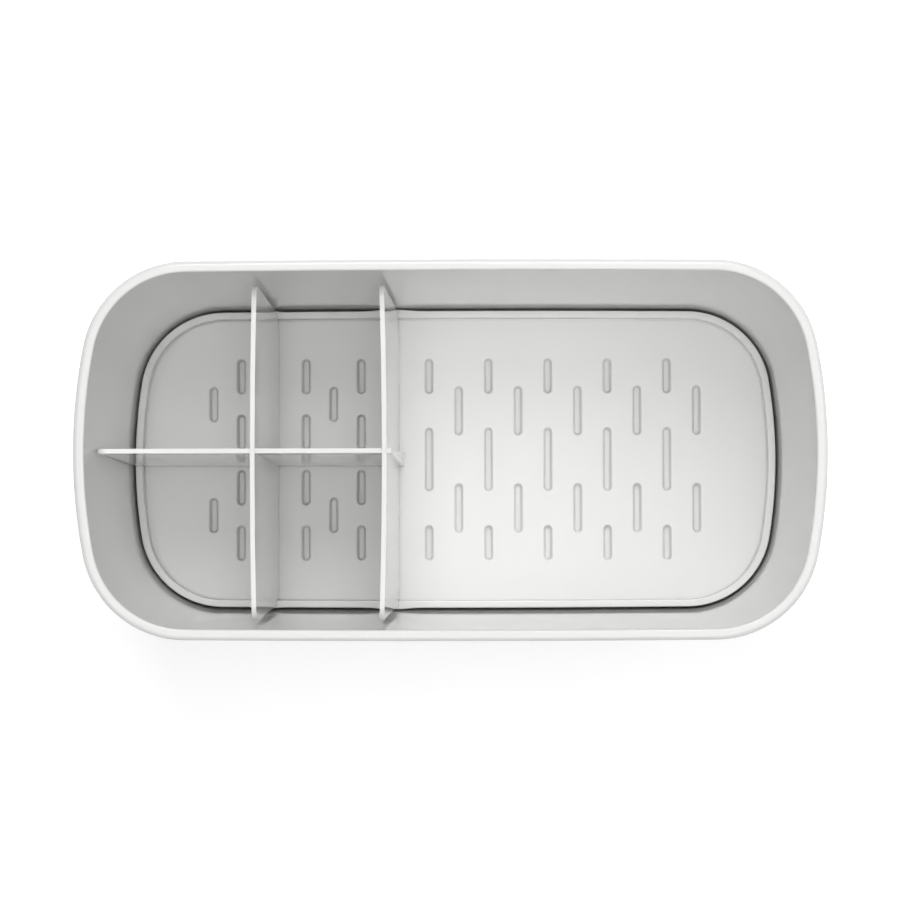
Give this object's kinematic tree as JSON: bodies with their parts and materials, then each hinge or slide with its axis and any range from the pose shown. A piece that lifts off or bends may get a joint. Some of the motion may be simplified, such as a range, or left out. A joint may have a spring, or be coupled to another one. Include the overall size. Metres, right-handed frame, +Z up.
{
  "type": "bathroom caddy",
  "caption": "Tapered open-top storage caddy in white plastic with rounded corners, a slotted drip tray standing in it and interlocking dividers that lift out.",
  "frame": {"origin": "middle of the footprint, on the surface that the feet stand on", "axes": "+X along the length, away from the small compartments; +Y across the width, up in the picture; +Z up"},
  "size_m": [0.267, 0.1352, 0.116],
  "materials": {
    "shell": "gloss",
    "tray": "gloss",
    "dividers": "gloss",
    "feet": "matte"
  },
  "bodies": {
    "caddy": {"caddy_body": "shell", "foot_front_left": "feet", "foot_front_right": "feet", "foot_back_left": "feet", "foot_back_right": "feet"},
    "tray": {"drip_tray": "tray"},
    "lengthwise_divider": {"lengthwise_divider": "dividers"},
    "left_cross_divider": {"left_cross_divider": "dividers"},
    "right_cross_divider": {"right_cross_divider": "dividers"}
  },
  "joints": [
    {"name": "tray_lift", "type": "slide", "parent": "caddy", "child": "tray", "axis": [0, 0, 1], "range_m": [0, 0.12]},
    {"name": "lengthwise_divider_lift", "type": "slide", "parent": "tray", "child": "lengthwise_divider", "axis": [0, 0, 1], "range_m": [0, 0.11]},
    {"name": "left_cross_divider_lift", "type": "slide", "parent": "lengthwise_divider", "child": "left_cross_divider", "axis": [0, 0, 1], "range_m": [0, 0.11]},
    {"name": "right_cross_divider_lift", "type": "slide", "parent": "lengthwise_divider", "child": "right_cross_divider", "axis": [0, 0, 1], "range_m": [0, 0.11]}
  ]
}
